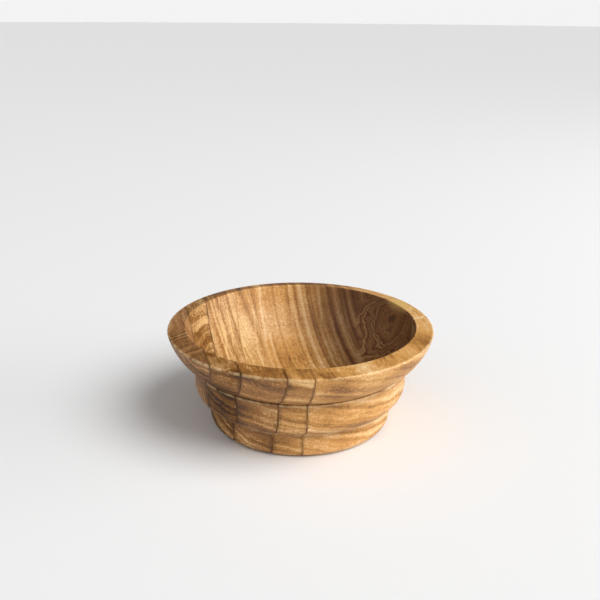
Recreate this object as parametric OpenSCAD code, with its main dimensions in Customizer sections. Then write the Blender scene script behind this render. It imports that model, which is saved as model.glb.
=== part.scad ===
// A turned wooden shaving bowl, made from five boards glued edge to edge.
// The blank is glued up first, then the whole bowl is turned from it on a lathe.
// Z is the turning axis and Z = 0 is the surface that the bowl stands on.
// The boards run along Y, so each glue joint is a nearly upright plane that crosses the X axis.

/* [Rim] */
// Diameter across the outer edge of the rim
rim_d = 120; // [100:1:150]
// Height of the rim's outer edge above the table
rim_h = 45.6; // [42:0.1:60]
// Width of the rim's top face, from the inner edge to the outer edge
rim_w = 8.2; // [6:0.1:12]
// How much higher the rim's inner edge is than its outer edge
rim_drop = 1.3; // [0.5:0.1:3]
// Radius that eases the edges of the rim
rim_ease = 0.6; // [0.3:0.05:1]

/* [Inside] */
// Depth of the inside, below the rim's inner edge
inside_depth = 30; // [22:0.5:36]
// Slope of the inside wall at the rim, in degrees away from upright
inside_slope = 14; // [8:1:25]

/* [Upper tier] */
// How far the upper tier's flank comes in, from the rim down to its lower end
flank_in = 12.5; // [8:0.1:15]
// How far the flank swells out from a straight line between its two ends
flank_bulge = 2.1; // [0.5:0.1:4]

/* [Middle tier] */
// Height of the middle tier
middle_h = 16.8; // [12:0.1:20.2]
// Width of the ledge on top of the middle tier, outside the upper tier's lower end
middle_ledge = 0.8; // [0.6:0.1:3]
// Radius of the round under the middle tier
middle_round = 8.8; // [7.4:0.1:11]
// How far that round comes in
middle_tuck = 7.2; // [4:0.1:7.4]

/* [Lower tier] */
// Height of the lower tier
lower_h = 11.9; // [10:0.1:16]
// Width of the ledge on top of the lower tier, outside the middle tier's lower end
lower_ledge = 0.5; // [0.5:0.1:3]
// Radius of the round under the lower tier
lower_round = 5.1; // [4:0.1:8]
// How far that round comes in
lower_tuck = 3.2; // [1:0.1:4]
// Radius that eases the top edges of the middle and lower tiers
tier_ease = 0.5; // [0.2:0.05:0.5]

/* [Underside] */
// Width of the flat ring that the bowl stands on
foot_ring = 7.6; // [3:0.1:15]
// Depth of the shallow recess inside that ring
recess_depth = 1.2; // [0.5:0.1:3]

/* [Boards] */
// Thickness of each line of cured glue
glue_t = 0.5; // [0.2:0.05:1]
// Thickness of the first board at its narrowest, where the upper tier ends
board_1_neck = 1; // [0.6:0.1:4]
// Width of the second board at that height, between the middles of its glue lines
board_2_w = 9.8; // [8:0.1:16]
// Width of the third board at that height, between the middles of its glue lines
board_3_w = 15.4; // [10:0.1:24]
// Width of the fourth board at that height, between the middles of its glue lines
board_4_w = 11.1; // [8:0.1:24]
// Lean of glue line a, in degrees towards +X
lean_a = -4.9; // [-6:0.1:6]
// Lean of glue line b, in degrees towards +X
lean_b = -2.2; // [-6:0.1:6]
// Lean of glue line c, in degrees towards +X
lean_c = 2; // [-6:0.1:6]
// Lean of glue line d, in degrees towards +X
lean_d = -0.4; // [-6:0.1:6]

/* [Hidden] */
$fn = 128;

rim_r = rim_d / 2;
inner_r = rim_r - rim_w;
bowl_h = rim_h + rim_drop;
// A size that is larger than the whole bowl, for shapes that cut or keep a part of it
beyond = rim_d + bowl_h;

// Each tier stands inside the one above it, apart from the ledge on its top
upper_foot_r = rim_r - flank_in;
upper_foot_h = lower_h + middle_h;
middle_r = upper_foot_r + middle_ledge;
lower_r = middle_r - middle_tuck + lower_ledge;
foot_r = lower_r - lower_tuck;

// How far along X the middle of each glue line is, at the height where the upper tier ends
joint_a = board_1_neck + glue_t / 2 - upper_foot_r;
joint_b = joint_a + board_2_w;
joint_c = joint_b + board_3_w;
joint_d = joint_c + board_4_w;
joints = [joint_a, joint_b, joint_c, joint_d];
leans = [lean_a, lean_b, lean_c, lean_d];

// Unit vectors along the rim's top face, outwards, and square to it, upwards
rim_len = norm([rim_w, rim_drop]);
rim_along = [rim_w, -rim_drop] / rim_len;
rim_up = [rim_drop, rim_w] / rim_len;

// The inside is one arc from the rim's inner edge down to a small flat floor
inside_r = inside_depth / (1 - sin(inside_slope));
inside_centre = [inner_r - inside_r * cos(inside_slope), bowl_h + inside_r * sin(inside_slope)];

// The upper tier's flank is one arc through its two ends
flank_chord = [flank_in, rim_h - upper_foot_h];
flank_half = norm(flank_chord) / 2;
flank_r = (pow(flank_half, 2) + pow(flank_bulge, 2)) / (2 * flank_bulge);
flank_inward = [-flank_chord[1], flank_chord[0]] / norm(flank_chord);
flank_centre = [upper_foot_r, upper_foot_h] + flank_chord / 2 + flank_inward * (flank_r - flank_bulge);

// Distance from point p, in direction d, to where the line leaves a circle
function leaves_circle(p, d, centre, r) =
    let (w = p - centre, b = w * d)
    sqrt(b * b - w * w + r * r) - b;

// A small round eases each corner where the rim's top face meets an arc
// Its centre is rim_ease below the face, and that far from the arc
ease_line = [inner_r, bowl_h] - rim_up * rim_ease;
outer_ease = ease_line + rim_along * leaves_circle(ease_line, rim_along, flank_centre, flank_r - rim_ease);
inner_ease = ease_line + rim_along * leaves_circle(ease_line, rim_along, inside_centre, inside_r + rim_ease);

// How far a flat may lie inside its arc, and the widest angle of one flat
arc_dev = 0.012;
arc_step = 12;

// Direction of a point as seen from another, in degrees
function heading(from, to) = atan2(to[1] - from[1], to[0] - from[0]);

// Points along an arc, from angle a0 to angle a1
function arc(centre, r, a0, a1) =
    let (steps = ceil(abs(a1 - a0) / min(arc_step, 2 * acos(1 - arc_dev / r))))
    [for (i = [0:steps])
        let (a = a0 + (a1 - a0) * i / steps)
        centre + r * [cos(a), sin(a)]];

// Outline of an upright tier, upwards: the round at its lower end, then its eased top edge
function tier(r, foot_h, tier_h, round_r, tuck) =
    let (a = acos(1 - tuck / round_r))
    concat(arc([r - round_r, foot_h + round_r * sin(a)], round_r, -a, 0),
           arc([r - tier_ease, foot_h + tier_h - tier_ease], tier_ease, 0, 90));

// Outline of half the bowl's section, from the underside, up the outside and down the inside
function bowl_outline() =
    let (flank_end = heading(flank_centre, outer_ease), face = heading([0, 0], rim_up))
    concat([[0, recess_depth], [foot_r - foot_ring, recess_depth], [foot_r - foot_ring, 0]],
           tier(lower_r, 0, lower_h, lower_round, lower_tuck),
           tier(middle_r, lower_h, middle_h, middle_round, middle_tuck),
           arc(flank_centre, flank_r, heading(flank_centre, [upper_foot_r, upper_foot_h]), flank_end),
           arc(outer_ease, rim_ease, flank_end, face),
           arc(inner_ease, rim_ease, face, heading(inner_ease, inside_centre)),
           arc(inside_centre, inside_r, heading(inside_centre, inner_ease), -90),
           [[0, bowl_h - inside_depth]]);

module bowl() {
    rotate_extrude()
        polygon(bowl_outline());
}

// Heights just below and just above the bowl, between which each cut reaches
cut_margin = 1;
cut_heights = [-cut_margin, bowl_h + cut_margin];

// Two points of a leaning plane, as [x, z], at those heights: at x where the upper tier ends
function plane(x, lean) = [for (z = cut_heights) [x + (z - upper_foot_h) * tan(lean), z]];

// The face of glue line i towards -X or +X, which is side -1 or 1
function glue_face(i, side) = plane(joints[i] + side * glue_t / 2, leans[i]);

// The part of the bowl from one plane to another
module slice(left, right) {
    intersection() {
        bowl();
        rotate([90, 0, 0])
            linear_extrude(height = beyond, center = true)
                polygon([left[0], right[0], right[1], left[1]]);
    }
}

// Board number i, counted from -X: it reaches from one glue line to the next
module board(i) {
    left = i == 0 ? plane(-beyond, 0) : glue_face(i - 1, 1);
    right = i == len(joints) ? plane(beyond, 0) : glue_face(i, -1);
    slice(left, right);
}

// Glue line number i, counted from -X
module glue_line(i) {
    slice(glue_face(i, -1), glue_face(i, 1));
}

module board_1() { color("#8a6238") board(0); }
module board_2() { color("#96703f") board(1); }
module board_3() { color("#a37a45") board(2); }
module board_4() { color("#a9773f") board(3); }
module board_5() { color("#bd8f57") board(4); }
module glue_line_a() { color("#3c2415") glue_line(0); }
module glue_line_b() { color("#3c2415") glue_line(1); }
module glue_line_c() { color("#3c2415") glue_line(2); }
module glue_line_d() { color("#3c2415") glue_line(3); }

board_1();
board_2();
board_3();
board_4();
board_5();
glue_line_a();
glue_line_b();
glue_line_c();
glue_line_d();
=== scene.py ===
# %% [markdown]
# # A turned wooden shaving bowl
#
# The bowl was glued up from five boards and then turned on a lathe, so its outside, its rim and its
# inside run smoothly over every glue joint. The CAD model holds that shape. This script gives it the
# look of oiled mango wood, lights it softly from one side, and stands it on a pale table.

# %% Load the bowl
import math

import bpy
from mathutils import Matrix, Vector


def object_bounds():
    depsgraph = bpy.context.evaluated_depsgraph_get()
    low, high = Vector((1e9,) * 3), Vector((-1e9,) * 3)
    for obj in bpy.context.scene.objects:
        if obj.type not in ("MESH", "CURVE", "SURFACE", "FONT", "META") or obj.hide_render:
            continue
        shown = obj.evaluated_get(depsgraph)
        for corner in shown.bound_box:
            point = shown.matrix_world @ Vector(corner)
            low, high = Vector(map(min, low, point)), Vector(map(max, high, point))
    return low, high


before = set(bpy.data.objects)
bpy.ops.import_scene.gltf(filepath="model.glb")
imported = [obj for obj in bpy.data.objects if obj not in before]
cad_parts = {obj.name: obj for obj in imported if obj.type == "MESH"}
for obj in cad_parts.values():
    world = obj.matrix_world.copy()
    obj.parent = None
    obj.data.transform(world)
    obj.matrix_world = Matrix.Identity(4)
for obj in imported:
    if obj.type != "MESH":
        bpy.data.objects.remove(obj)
CAD_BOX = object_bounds()
MM = 0.001
RIM_R = (CAD_BOX[1].x - CAD_BOX[0].x) / 2
BOWL_H = CAD_BOX[1].z
print(f"the bowl is {2 * RIM_R / MM:.0f} mm across and {BOWL_H / MM:.0f} mm high")

# %% [markdown]
# ## Colours and nodes
#
# Wood colours are easy to read off as sRGB hex values, but a shader works in linear light. One
# function turns a hex value into the linear colour that a socket takes. A second one adds a shader
# node, fills in its settings and inputs, and hands back one of its outputs for the next node. It
# only counts the sockets that the chosen settings leave in use, as the node editor shows them.

# %% Helpers for colours and nodes
def linear(hex_value):
    """A linear RGBA colour from an sRGB hex value such as "b98a50"."""
    rgb = [int(hex_value[i:i + 2], 16) / 255 for i in (0, 2, 4)]
    return [c / 12.92 if c <= 0.04045 else ((c + 0.055) / 1.055) ** 2.4 for c in rgb] + [1.0]


def add_node(tree, kind, *values, out=0, stops=(), **named):
    """Adds a shader node and gives back one of its outputs.

    Values fill its inputs in order. A named value in small letters is a setting of the node, and one
    with a capital is an input. A value is a number, a colour, or the output of another node, and
    out says which output comes back, by its name or its place among those in use.
    """
    made = tree.nodes.new("ShaderNode" + kind)
    for key in [key for key in named if key.islower()]:
        setattr(made, key, named.pop(key))
    for place, _ in stops[2:]:
        made.color_ramp.elements.new(place)
    for i, (place, colour) in enumerate(stops):
        made.color_ramp.elements[i].position = place
        made.color_ramp.elements[i].color = colour
    in_use = [socket for socket in made.inputs if socket.enabled]
    pairs = list(zip(in_use, values))
    pairs += [(socket, named[socket.name]) for socket in in_use if socket.name in named]
    for socket, value in pairs:
        if isinstance(value, bpy.types.NodeSocket):
            tree.links.new(value, socket)
        else:
            socket.default_value = value
    if isinstance(out, str):
        return made.outputs[out]
    return [socket for socket in made.outputs if socket.enabled][out]


print("brown in linear light:", [round(c, 3) for c in linear("a06a34")])

# %% [markdown]
# ## Where the glue lines run
#
# Glue and oil creep a little way into the wood on both sides of a joint and leave it darker there.
# The wood therefore has to know where the joints are. Each glue line of the CAD model is a thin
# leaning sheet, so its place and lean can be measured on its lowest and highest points.

# %% Measure the glue lines
def glue_sheet(node):
    """The middle of a glue line in mm: its x on the table, and how far x moves for each mm of height."""
    points = [vertex.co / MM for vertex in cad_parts[node].data.vertices]
    ends = []
    for z in (min(point.z for point in points), max(point.z for point in points)):
        across = [point.x for point in points if abs(point.z - z) < 0.1]
        ends.append((sum(across) / len(across), z))
    (x_low, z_low), (x_high, z_high) = ends
    lean = (x_high - x_low) / (z_high - z_low)
    return x_low - lean * z_low, lean


GLUE_SHEETS = {letter: glue_sheet("glue_line_" + letter) for letter in "abcd"}
for letter, (x, lean) in GLUE_SHEETS.items():
    degrees = math.degrees(math.atan(lean))
    print(f"glue line {letter} stands at x = {x:.1f} mm and leans {degrees:.1f} degrees")

# %% [markdown]
# ## Noise in millimetres
#
# Wood is never quite regular, so everything in it is bent and blotched by noise. Noise is easiest
# to judge in millimetres: each use then says how long and how wide its lumps are on the real bowl. A
# third helper makes a soft spot round a point.

# %% Lumps, wandering and soft spots
def lumps(tree, at, size, detail=2.0, roughness=0.5):
    """Soft noise round zero, with lumps of about size mm along X, Y and Z."""
    scaled = add_node(tree, "VectorMath", at, size, operation="DIVIDE")
    cloud = add_node(tree, "TexNoise", scaled, Scale=1.0, Detail=detail, Roughness=roughness)
    return add_node(tree, "Math", cloud, 0.5, operation="SUBTRACT")


def wander(tree, at, own, size, reach):
    """The point at, moved by up to reach / 2 mm along a path that changes smoothly over size mm."""
    scaled = add_node(tree, "VectorMath", own, size, operation="DIVIDE")
    cloud = add_node(tree, "TexNoise", scaled, out="Color", Scale=1.0, Detail=2.0)
    centred = add_node(tree, "VectorMath", cloud, (0.5, 0.5, 0.5), operation="SUBTRACT")
    return add_node(tree, "VectorMath", centred, (reach, reach, reach), at, operation="MULTIPLY_ADD")


def nearness(tree, at, middle, reach, core=0.0):
    """1 within core mm of a point, and smoothly down to 0 at reach mm from it."""
    gap = add_node(tree, "VectorMath", at, middle, operation="DISTANCE")
    return add_node(tree, "MapRange", gap, core, reach, 1.0, 0.0, interpolation_type="SMOOTHSTEP")


# %% [markdown]
# ## Growth layers
#
# Mango is a golden brown hardwood with dark growth layers, short pores and a rippled figure. The
# pattern is a solid one: it fills the board in millimetres, as growth layers fill a tree, and the
# turned surface only shows where it cuts them. That is why a streak runs down the wall and bends at
# the floor, which a flat texture could not do. The layers stand across the boards at the back, turn
# flat towards the front end, and wrap round a knot in the wide board.

# %% Growth layers
KNOT = (50.0, 9.0, 38.0)
KNOT_CORE, KNOT_REACH = 9.0, 24.0


def growth_layers(tree, at, own, to_back, turn, layer_mm):
    """The layers, from 0 for dark to 1 for pale. They stand turn degrees off the board's edge."""
    tilted = add_node(tree, "VectorRotate", at, rotation_type="Y_AXIS", Angle=math.radians(turn))
    standing = add_node(tree, "SeparateXYZ", tilted)
    upward = add_node(tree, "SeparateXYZ", at, out="Z")
    lying = add_node(tree, "Math", standing, 0.22, upward, operation="MULTIPLY_ADD")
    depth = add_node(tree, "Mix", to_back, lying, standing)
    tangled = wander(tree, at, own, (12, 12, 12), 16.0)
    from_knot = add_node(tree, "VectorMath", tangled, KNOT, operation="DISTANCE")
    depth = add_node(tree, "Mix", nearness(tree, tangled, KNOT, KNOT_REACH, KNOT_CORE), depth, from_knot)

    # Each board starts at its own layer. The part of the bend that goes across the boards is taken
    # out again, so that upright layers stay nearly straight
    offset = add_node(tree, "VectorMath", own, at, operation="SUBTRACT")
    depth = add_node(tree, "Math", depth, add_node(tree, "SeparateXYZ", offset), operation="ADD")
    return add_node(tree, "TexNoise", depth, noise_dimensions="1D", Scale=1 / layer_mm, Detail=4.0,
                    Roughness=0.6)


print("the layers wrap round a knot at", KNOT, "mm, and leave it alone beyond", KNOT_REACH, "mm")

# %% [markdown]
# ## Fibres, ripple and flecks
#
# Between the layers there is finer grain: long fibres along the board, a ripple across them that
# changes the tone every few millimetres, and short pale flecks where the rippled fibres come to the
# surface. A tone adds all of these up, and later picks a colour between dark and pale.

# %% The tone of bare wood
# Lump sizes in mm along X, Y and Z. Real fibres are about half as wide, and would not show
FIBRE_MM = (0.7, 9.0, 0.7)
RIPPLE_MM = (3.5, 2.5, 1.3)
FLECK_MM = (1.0, 3.0, 0.8)
CLOUD_MM = (20, 30, 16)
# How much each part changes the tone
LAYER_WEIGHT = 0.95
FIBRE_WEIGHT = 0.5
RIPPLE_WEIGHT = 0.24
CLOUD_WEIGHT = 0.5
FLECK_WEIGHT = 0.15


def bare_tone(tree, own, layers, fibres):
    """The tone of the wood, round 0.5: above it for paler wood and below it for darker wood."""
    clouds = lumps(tree, own, CLOUD_MM)
    ripple = lumps(tree, own, RIPPLE_MM, 2.0, 0.6)
    centred = add_node(tree, "Math", layers, 0.5, operation="SUBTRACT")
    tone = add_node(tree, "Math", centred, LAYER_WEIGHT, 0.5, operation="MULTIPLY_ADD")
    for part, weight in ((fibres, FIBRE_WEIGHT), (ripple, RIPPLE_WEIGHT), (clouds, CLOUD_WEIGHT)):
        tone = add_node(tree, "Math", part, weight, tone, operation="MULTIPLY_ADD")
    fleck = add_node(tree, "MapRange", lumps(tree, own, FLECK_MM, 1.0), 0.04, 0.16, 0.0, FLECK_WEIGHT)
    patchy = add_node(tree, "MapRange", clouds, -0.08, 0.1)
    return add_node(tree, "Math", fleck, patchy, tone, operation="MULTIPLY_ADD")


print("fibres are drawn", FIBRE_MM[0], "mm wide and", FIBRE_MM[1], "mm long")

# %% [markdown]
# ## Pale streaks
#
# A few layers across the wide boards are much paler than the rest, thin and nearly straight. They are
# listed one by one, because their places make this bowl this bowl, and a colour ramp along X draws them
# all at once.

# %% Streaks across the boards
# The middle and the half width of each, in mm from the axis
PALE_STREAKS = [(-30, 0.7), (-26, 0.5), (-12.5, 0.7), (-7, 1.0), (-4.5, 0.5), (8.5, 0.9), (13, 0.5),
                (22, 0.8), (27, 0.5), (33, 0.6)]


def pale_streaks(tree, at, to_back):
    """1 in the middle of a pale streak and 0 between them, and everywhere 0 at the front."""
    stops = []
    for middle, half in PALE_STREAKS:
        for x, level in ((middle - half, 0.0), (middle, 1.0), (middle + half, 0.0)):
            stops.append(((x * MM / RIM_R + 1) / 2, (level, level, level, 1.0)))
    across = add_node(tree, "SeparateXYZ", at)
    from_left = add_node(tree, "Math", across, MM / RIM_R / 2, 0.5, operation="MULTIPLY_ADD")
    streak = add_node(tree, "ValToRGB", from_left, stops=sorted(stops))
    return add_node(tree, "Math", streak, to_back, operation="MULTIPLY")


print(len(PALE_STREAKS), "pale streaks")

# %% [markdown]
# ## Paler and darker patches
#
# The wood is paler in some places and darker in others, partly from its own tone and partly from painted
# light and shade. Inside, the pale patches on the left wall are painted light and sheen from the softbox.
# Outside, the dark patches on the left, which faces away from the lamps, are painted shade, and the pale
# patch on the right of the rim is painted light. The patches are listed in millimetres. The outside and
# the inside have their own, and a line up the middle of the wall tells them apart.

# %% Patches on both sides of the wall
# Patches: the middle and reach in mm, and how much paler, or darker below 0
# Inside, the pale patches on the left wall are painted light and sheen from the softbox, and the dark ones
# nearer the right are partly painted shade
INSIDE_TONE_LIGHT_AND_SHADE = [((-32, 34, 32), 26, 0.22), ((-18, 44, 32), 22, 0.06), ((-20, 15, 17), 26, 0.14),
                  ((6, 20, 17), 18, -0.16), ((4, 49, 38), 20, -0.1)]
# Outside, the dark patches on the left side, which faces away from the lamps, are painted shade over the
# wood's own tone, and the pale patch on the right of the rim is painted light
OUTSIDE_TONE_LIGHT_AND_SHADE = [((-54, 0, 34), 30, -0.16), ((-50, -26, 36), 22, -0.16), ((-40, -27, 22), 22, -0.30),
                   ((-32, -48, 46), 16, -0.18), ((-22, -53, 46), 10, -0.14), ((30, -48, 48), 16, -0.16),
                   ((-15, -56, 46), 9, 0.07), ((-1, -58, 38), 16, -0.17), ((55, -20, 46), 22, 0.26),
                   ((-24, -36, 6), 14, -0.16), ((15, 60, 50), 38, -0.42), ((-28, 54, 50), 24, -0.20)]
# The middle of the wall: its radius in mm at the foot, what each mm of height adds, and its limit
# where the rim starts
WALL_FOOT_R = 34.2
WALL_SLOPE = 0.4
WALL_TOP_R = 51.9


def patches(tree, at, places):
    """How much paler or darker the wood is at a point, from a list of patches."""
    total = 0.0
    for middle, reach, change in places:
        near = nearness(tree, at, middle, reach)
        total = add_node(tree, "Math", near, change, total, operation="MULTIPLY_ADD")
    return total


def outer_side(tree, radius, height):
    """1 on the outer side of the wall's middle, and 0 on its inner side."""
    wall = add_node(tree, "Math", height, WALL_SLOPE, WALL_FOOT_R, operation="MULTIPLY_ADD")
    wall = add_node(tree, "Math", wall, WALL_TOP_R, operation="MINIMUM")
    past_wall = add_node(tree, "Math", radius, wall, operation="SUBTRACT")
    return add_node(tree, "MapRange", past_wall, 0.0, 0.6)


print(len(INSIDE_TONE_LIGHT_AND_SHADE), "patches inside and", len(OUTSIDE_TONE_LIGHT_AND_SHADE), "outside")

# %% [markdown]
# ## Heartwood and sapwood
#
# The wide board holds the dark heart of the tree on one side, and a strip of pale sapwood, which lay just
# under the bark, at its far edge. The dark is only laid on the inner side of the wall, where the right
# wall faces away from the lamps, so it is partly the heart and partly painted shade. Both are places in
# the solid wood: the dark darkens what is there, streaks and all, and the sapwood covers it.

# %% Dark heart with painted shade, and sapwood
HEART_AND_SHADE = (47.0, 0.0, 36.0)
HEART_AND_SHADE_CORE, HEART_AND_SHADE_REACH = 22.0, 50.0
SAPWOOD = (54.0, 13.0, 47.0)


def heart_shade_and_sapwood(tree, colour, at, bent, own, layers, outside):
    """The colour with the dark heart and painted shade on the inner right wall, and the strip of sapwood.
    """
    # A dark patch on the inner right wall, partly the heart of the wood and partly painted shade,
    # multiplied into the colour
    stretched = add_node(tree, "VectorMath", bent, (1.0, 0.45, 1.0), operation="MULTIPLY")
    heart_and_shade = nearness(tree, stretched, HEART_AND_SHADE, HEART_AND_SHADE_REACH, HEART_AND_SHADE_CORE)
    inside = add_node(tree, "Math", 1.0, outside, operation="SUBTRACT")
    heart_and_shade = add_node(tree, "Math", heart_and_shade, inside, operation="MULTIPLY")
    banded = add_node(tree, "MapRange", layers, 0.35, 0.65, 1.0, 0.76)
    heart_and_shade = add_node(tree, "Math", heart_and_shade, banded, operation="MULTIPLY")
    colour = add_node(tree, "Mix", heart_and_shade, colour, linear("6a5028"), data_type="RGBA",
                      blend_type="MULTIPLY")
    edge = wander(tree, at, own, (6, 14, 6), 5.0)
    edge = add_node(tree, "VectorMath", edge, SAPWOOD, operation="SUBTRACT")
    edge = add_node(tree, "VectorMath", edge, (1.0, 0.45, 1.0), operation="MULTIPLY")
    sap = nearness(tree, edge, (0, 0, 0), 7.0, 1.5)
    sap = add_node(tree, "Math", sap, 0.85, operation="MULTIPLY")
    return add_node(tree, "Mix", sap, colour, linear("dab468"), data_type="RGBA")


print("the heart lies at", HEART_AND_SHADE, "mm and the sapwood at", SAPWOOD, "mm")

# %% [markdown]
# ## Stained joints
#
# Glue squeezes out of a joint when the boards are clamped and soaks into the wood beside it, more in
# some places than in others. The stain is therefore a band beside the glue line, whose edge is moved
# in and out by noise. Beside the two joints nearest the middle, c and d, it fades towards the back,
# where the real ones hardly show.

# %% Stained joints
def stain_joint(tree, colour, at, rough, line, reach, back):
    """Wood darkened beside a glue line, by reach mm at most, and only as strongly as back at the back."""
    sheet_x, lean = GLUE_SHEETS[line]
    across = add_node(tree, "SeparateXYZ", at)
    height = add_node(tree, "SeparateXYZ", at, out="Z")
    sheet = add_node(tree, "Math", height, lean, sheet_x, operation="MULTIPLY_ADD")
    offset = add_node(tree, "Math", across, sheet, operation="SUBTRACT")
    gap = add_node(tree, "Math", offset, operation="ABSOLUTE")
    edge = add_node(tree, "Math", rough, reach, 0.3, operation="MULTIPLY_ADD")
    stain = add_node(tree, "MapRange", gap, 0.2, edge, 0.5, 0.0)
    along = add_node(tree, "SeparateXYZ", at, out="Y")
    fade = add_node(tree, "MapRange", along, -30.0, 5.0, 1.0, back)
    stain = add_node(tree, "Math", stain, fade, operation="MULTIPLY")
    return add_node(tree, "Mix", stain, colour, linear("4a2a10"), data_type="RGBA")


# %% [markdown]
# ## Painted shade under the tiers and painted highlights on the edges
#
# The grooves under each tier and the foot get painted shade, a darker brown, and the outer edges get a
# thin painted highlight, a pale line. Both follow the turned outline, so a point's height and its distance
# from the axis are all that they need. A ramp up the height draws the painted shade.

# %% Painted shade under the tiers, painted highlights on the edges
# How dark the painted shade is at each height outside: the height in mm, and the strength
PAINTED_SHADE_UNDER_TIERS = [(0, 0.5), (2.0, 0.0), (8.5, 0.0), (11.6, 0.4), (12.1, 0.5), (17.0, 0.0), (24.5, 0.0),
         (28.4, 0.3), (28.9, 0.5), (34.5, 0.0)]
SHADE_RAMP_MM = 50.0
# Edges with a painted highlight: the radius and the height of each, in mm
HIGHLIGHTED_EDGES = [(59.7, 45.4), (48.2, 28.5), (41.5, 11.7)]


def tier_shade_and_edge_highlights(tree, colour, radius, height, outside, rough):
    """Darker in painted shade under each tier and at the foot, and paler in painted highlights on the
    edges.
    """
    scaled = add_node(tree, "Math", height, SHADE_RAMP_MM, operation="DIVIDE")
    shade_under_tiers = add_node(tree, "ValToRGB", scaled, stops=[(z / SHADE_RAMP_MM, (v, v, v, 1)) for z, v in PAINTED_SHADE_UNDER_TIERS])
    shade_under_tiers = add_node(tree, "Math", shade_under_tiers, outside, operation="MULTIPLY")
    # Painted shade: a darker brown in the grooves under the tiers and at the foot
    colour = add_node(tree, "Mix", shade_under_tiers, colour, linear("5e3612"), data_type="RGBA")
    for edge_r, edge_z in HIGHLIGHTED_EDGES:
        # Painted highlight: a thin pale line along each edge
        point = add_node(tree, "CombineXYZ", radius, height)
        edge_highlight = nearness(tree, point, (edge_r, edge_z, 0), 1.0, 0.3)
        edge_highlight = add_node(tree, "Math", edge_highlight, rough, operation="MULTIPLY")
        edge_highlight = add_node(tree, "Math", edge_highlight, 0.4, operation="MULTIPLY")
        colour = add_node(tree, "Mix", edge_highlight, colour, linear("f4d6a2"), data_type="RGBA")
    return colour


# Prints the heights where the painted shade under the tiers is strongest
print("oil pools under the tiers at", [z for z, strength in PAINTED_SHADE_UNDER_TIERS if strength == 0.5], "mm")

# %% [markdown]
# ## Oiled mango wood
#
# One function puts all of this together for a board: the tone picks a colour between the board's own dark,
# middle and pale brown, with painted light and shade in some of its patches, and the heart with its
# painted shade, the stains, the painted shade under the tiers and the painted highlights on the edges go
# on top. Oiled wood is satin, with the IOR of any clear finish, 1.5. The film is a little rougher over the
# open pores, and they dent it slightly, which breaks up the highlights along the fibres.

# %% The wood of one board
# The layers sway over the length of a hand and waver over the width of a finger: sizes and reach in mm
SWAY = ((34, 60, 34), 9.0)
WAVER = ((7, 12, 7), 1.8)
# Between these places along Y the layers turn from flat, in front, to upright
FLAT_UP_TO = -28.0
UPRIGHT_FROM = 6.0
STREAK_WEIGHT = 0.2


def mango_wood(name, browns, seed, turn, layer_mm, stains, sheen=0.42):
    """Mango heartwood, sanded and oiled: warm and satin, with dark growth layers and open pores."""
    wood = bpy.data.materials.new(name)
    wood.use_nodes = True
    tree = wood.node_tree
    shader = tree.nodes["Principled BSDF"]
    place = add_node(tree, "TexCoord", out="Object")
    at = add_node(tree, "VectorMath", place, (MM, MM, MM), operation="DIVIDE")
    own = add_node(tree, "VectorMath", at, (seed * 61.0, seed * 23.0, seed * 37.0), operation="ADD")
    height = add_node(tree, "SeparateXYZ", at, out="Z")
    flat = add_node(tree, "VectorMath", at, (1, 1, 0), operation="MULTIPLY")
    radius = add_node(tree, "VectorMath", flat, operation="LENGTH")
    outside = outer_side(tree, radius, height)

    # The grain: the layers and fibres where this board's wood is bent to
    swayed = wander(tree, at, own, *SWAY)
    bent = wander(tree, swayed, own, *WAVER)
    along = add_node(tree, "SeparateXYZ", bent, out="Y")
    to_back = add_node(tree, "MapRange", along, FLAT_UP_TO, UPRIGHT_FROM,
                       interpolation_type="SMOOTHSTEP")
    layers = growth_layers(tree, bent, own, to_back, turn, layer_mm)
    fibres = lumps(tree, wander(tree, own, own, *WAVER), FIBRE_MM, 2.0, 0.6)

    # The tone, and the colour that it picks
    tone = bare_tone(tree, own, layers, fibres)
    streaks = pale_streaks(tree, bent, to_back)
    tone = add_node(tree, "Math", streaks, STREAK_WEIGHT, tone, operation="MULTIPLY_ADD")
    # The patches add painted light and shade as well as the wood's own tone, inside and outside apart
    change = add_node(tree, "Mix", outside, patches(tree, swayed, INSIDE_TONE_LIGHT_AND_SHADE),
                      patches(tree, swayed, OUTSIDE_TONE_LIGHT_AND_SHADE))
    tone = add_node(tree, "Math", tone, change, operation="ADD")
    shades = zip((0.14, 0.5, 0.86), browns)
    colour = add_node(tree, "ValToRGB", tone, stops=[(level, linear(brown)) for level, brown in shades])
    colour = heart_shade_and_sapwood(tree, colour, at, bent, own, layers, outside)

    # Blotchy stains beside the joints, painted shade under the tiers and painted highlights on the edges
    rough = add_node(tree, "MapRange", lumps(tree, own, (2.5, 2.5, 4)), -0.15, 0.15, 0.1, 1.1)
    near_joint = wander(tree, at, own, (6, 6, 6), 1.0)
    for line, reach, back in stains:
        colour = stain_joint(tree, colour, near_joint, rough, line, reach, back)
    colour = tier_shade_and_edge_highlights(tree, colour, radius, height, outside, rough)
    tree.links.new(colour, shader.inputs["Base Color"])

    # The oil film is roughest over the pores, which are dents of less than a tenth of a millimetre
    film = add_node(tree, "Math", fibres, -0.2, 0.48, operation="MULTIPLY_ADD")
    tree.links.new(film, shader.inputs["Roughness"])
    pores = add_node(tree, "Bump", Strength=0.25, Distance=0.08 * MM, Height=fibres)
    tree.links.new(pores, shader.inputs["Normal"])
    shader.inputs["IOR"].default_value = 1.5
    shader.inputs["Specular IOR Level"].default_value = sheen
    print(name, "has", len(tree.nodes), "nodes")
    return wood


# %% [markdown]
# ## Five boards, five pieces of wood
#
# The boards came from different planks, and that is why the joints show so clearly. Each has its own
# three browns, its own lean of the layers, and its own seed, so no layer runs on across a joint. The
# second board is the darkest, and the wide one is the palest. The first two took up more oil, and
# shine less.

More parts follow.
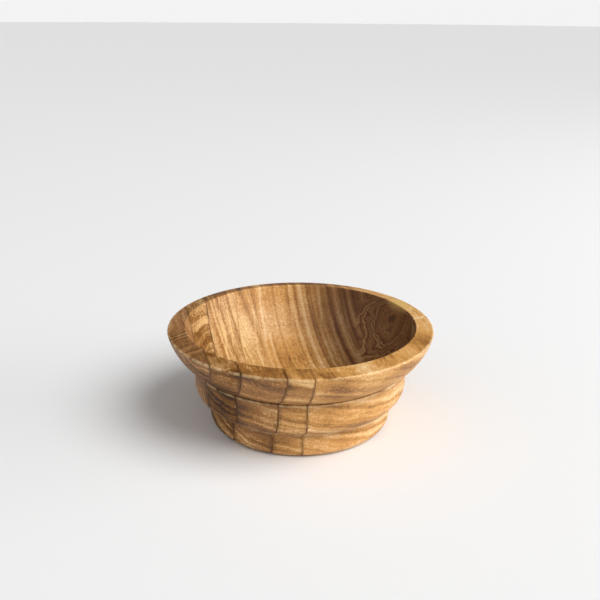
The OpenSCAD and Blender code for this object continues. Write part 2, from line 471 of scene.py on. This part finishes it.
# %% Wood for the boards
A_STAIN = ("a", 0.8, 0.8)
B_STAIN = ("b", 1.5, 0.8)
C_STAIN = ("c", 1.9, 0.1)
D_STAIN = ("d", 1.2, 0.1)
BOARD_WOODS = {
    "board_1": mango_wood("oiled mango, outer board", ("58381a", "a27244", "d8b080"), 1, 30, 3.6,
                          [A_STAIN], sheen=0.2),
    "board_2": mango_wood("oiled mango, dark board", ("3c2206", "90602a", "e8bc82"), 2, 80, 3.6,
                          [A_STAIN, B_STAIN], sheen=0.2),
    "board_3": mango_wood("oiled mango, brown board", ("52300c", "a67034", "ecc084"), 3, 12, 4.0,
                          [B_STAIN, C_STAIN]),
    "board_4": mango_wood("oiled mango, narrow board", ("643e16", "be8642", "f0c88c"), 4, 20, 4.0,
                          [C_STAIN, D_STAIN]),
    "board_5": mango_wood("oiled mango, wide pale board", ("744414", "ce9650", "f4d09c"), 5, 4, 4.0,
                          [D_STAIN]),
}
for node, wood in BOARD_WOODS.items():
    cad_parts[node].data.materials[0] = wood

# %% [markdown]
# ## Cured glue
#
# A glue line is half a millimetre of cured wood glue that the oil has stained: nearly matt, and a
# brown of its own in each joint. Two of the lines all but disappear at the back, so the colour is
# mixed along the board. Small blotches keep it from looking drawn with a ruler.

# %% Glue in the joints
BLOTCH_MM = 4.0


def glue_film(name, dark, mid, back):
    """Cured wood glue, stained by the oil: a thin brown line, almost matt, paler by back at the back."""
    glue = bpy.data.materials.new(name)
    glue.use_nodes = True
    tree = glue.node_tree
    shader = tree.nodes["Principled BSDF"]
    place = add_node(tree, "TexCoord", out="Object")
    blotches = add_node(tree, "TexNoise", place, Scale=1 / (BLOTCH_MM * MM), Detail=3.0)
    along = add_node(tree, "SeparateXYZ", place, out="Y")
    faded = add_node(tree, "MapRange", along, -20 * MM, 10 * MM, 0.0, back)
    level = add_node(tree, "Math", blotches, faded, operation="ADD")
    shades = ((0.42, dark), (0.62, mid), (0.9, "c29158"))
    colour = add_node(tree, "ValToRGB", level, stops=[(spot, linear(brown)) for spot, brown in shades])
    tree.links.new(colour, shader.inputs["Base Color"])
    shader.inputs["Roughness"].default_value = 0.5
    shader.inputs["IOR"].default_value = 1.5
    shader.inputs["Specular IOR Level"].default_value = 0.2
    return glue


GLUES = {"a": ("583a1e", "7c5630", 0.1), "b": ("4a2c12", "6e4824", 0.12), "c": ("5c3817", "86592c", 0.5),
         "d": ("74491f", "a06f3a", 0.5)}
for letter, (dark, mid, back) in GLUES.items():
    film = glue_film("cured wood glue, line " + letter, dark, mid, back)
    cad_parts["glue_line_" + letter].data.materials[0] = film
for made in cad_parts.values():
    print(made.name, len(made.data.polygons), "faces,", made.data.materials[0].name)

# %% [markdown]
# ## Table
#
# The bowl stands on a wide sheet of matt white laminate. One big disc will do, because it has to
# reach past the edges of the view on every side. A matt surface shows no reflection of the bowl. It
# is part of the stage and not of the bowl.

# %% Table
TABLE_R = 8.0
bpy.ops.mesh.primitive_circle_add(vertices=96, radius=TABLE_R, fill_type="NGON", location=(0, 0, 0))
table_top = bpy.context.object
table_top.name = "table_top"
laminate = bpy.data.materials.new("matt white laminate")
laminate.use_nodes = True
laminate_shader = laminate.node_tree.nodes["Principled BSDF"]
laminate_shader.inputs["Base Color"].default_value = linear("f4f4f4")
laminate_shader.inputs["Roughness"].default_value = 0.9
table_top.data.materials.append(laminate)
print("the table is", 2 * TABLE_R, "m across")

# %% [markdown]
# ## Light
#
# A studio shot of a small turned bowl needs little: one big soft lamp at the front right, a low
# window on the right, and a dim room that is brighter on the camera's side. The room is a world
# shader, which needs no walls, and its skyline is nearly as pale as the table, so that the table's
# far edge hardly shows.

# %% Lamps and room
# The boards lie a few degrees off the line of sight
BOARD_TURN = math.radians(15.5)
to_view = Matrix.Rotation(-BOARD_TURN, 4, "Z")


def direction(sideways, upwards):
    """A direction as seen by the camera: degrees from its right, away from it, and degrees upwards."""
    side = math.radians(sideways)
    up = math.radians(upwards)
    return to_view @ Vector((math.cos(up) * math.cos(side), math.cos(up) * math.sin(side), math.sin(up)))


def add_lamp(name, kind, towards, distance, **settings):
    """Adds a lamp that shines on the bowl from the given direction."""
    data = bpy.data.lights.new(name, kind)
    for key, value in settings.items():
        setattr(data, key, value)
    made = bpy.data.objects.new(name, data)
    bpy.context.scene.collection.objects.link(made)
    made.location = towards * distance
    made.rotation_euler = towards.to_track_quat("Z", "Y").to_euler()
    print(name, "shines from", [round(v, 2) for v in made.location], "m")


add_lamp("softbox", "SUN", direction(-30, 50), 2.0, energy=2.25, angle=math.radians(44))
add_lamp("window", "AREA", direction(-5, 14), 1.2, energy=8.0, shape="RECTANGLE", size=1.1, size_y=0.5)

SKYLINE = 0.9
room = bpy.data.worlds.new("dim room")
bpy.context.scene.world = room
room.use_nodes = True
tree = room.node_tree
look = add_node(tree, "TexCoord", out="Generated")
front = add_node(tree, "VectorMath", look, direction(-125, 25), operation="DOT_PRODUCT")
fill = add_node(tree, "MapRange", front, -0.2, 0.9, 0.05, 0.6)
upward = add_node(tree, "SeparateXYZ", look, out="Z")
skyline = add_node(tree, "MapRange", upward, 0.03, 0.12, 1.0, 0.0)
shade = add_node(tree, "Mix", skyline, fill, SKYLINE)
tree.links.new(shade, tree.nodes["Background"].inputs["Color"])

# %% [markdown]
# ## Camera
#
# A 50 mm lens from about 40 cm away, looking down into the bowl, as one would look at it on a shelf.
# It is put in place by one matrix: back from the bowl and up, tilted down, and rolled by the small
# amount by which a camera is never quite level.

# %% Camera
CAMERA_MM = Vector((-0.28, -352.8, 183.0))
TILT_DOWN = 19.63
ROLL = 0.44
camera_data = bpy.data.cameras.new("camera")
camera_data.lens = 50.0
camera_data.sensor_width = 36.0
camera = bpy.data.objects.new("camera", camera_data)
bpy.context.scene.collection.objects.link(camera)
camera.matrix_world = (to_view @ Matrix.Translation(CAMERA_MM * MM)
                       @ Matrix.Rotation(math.radians(90 - TILT_DOWN), 4, "X")
                       @ Matrix.Rotation(math.radians(ROLL), 4, "Z"))
bpy.context.scene.camera = camera
bpy.context.scene.view_settings.view_transform = "Standard"
print("camera at", [round(v / MM) for v in camera.matrix_world.translation], "mm")
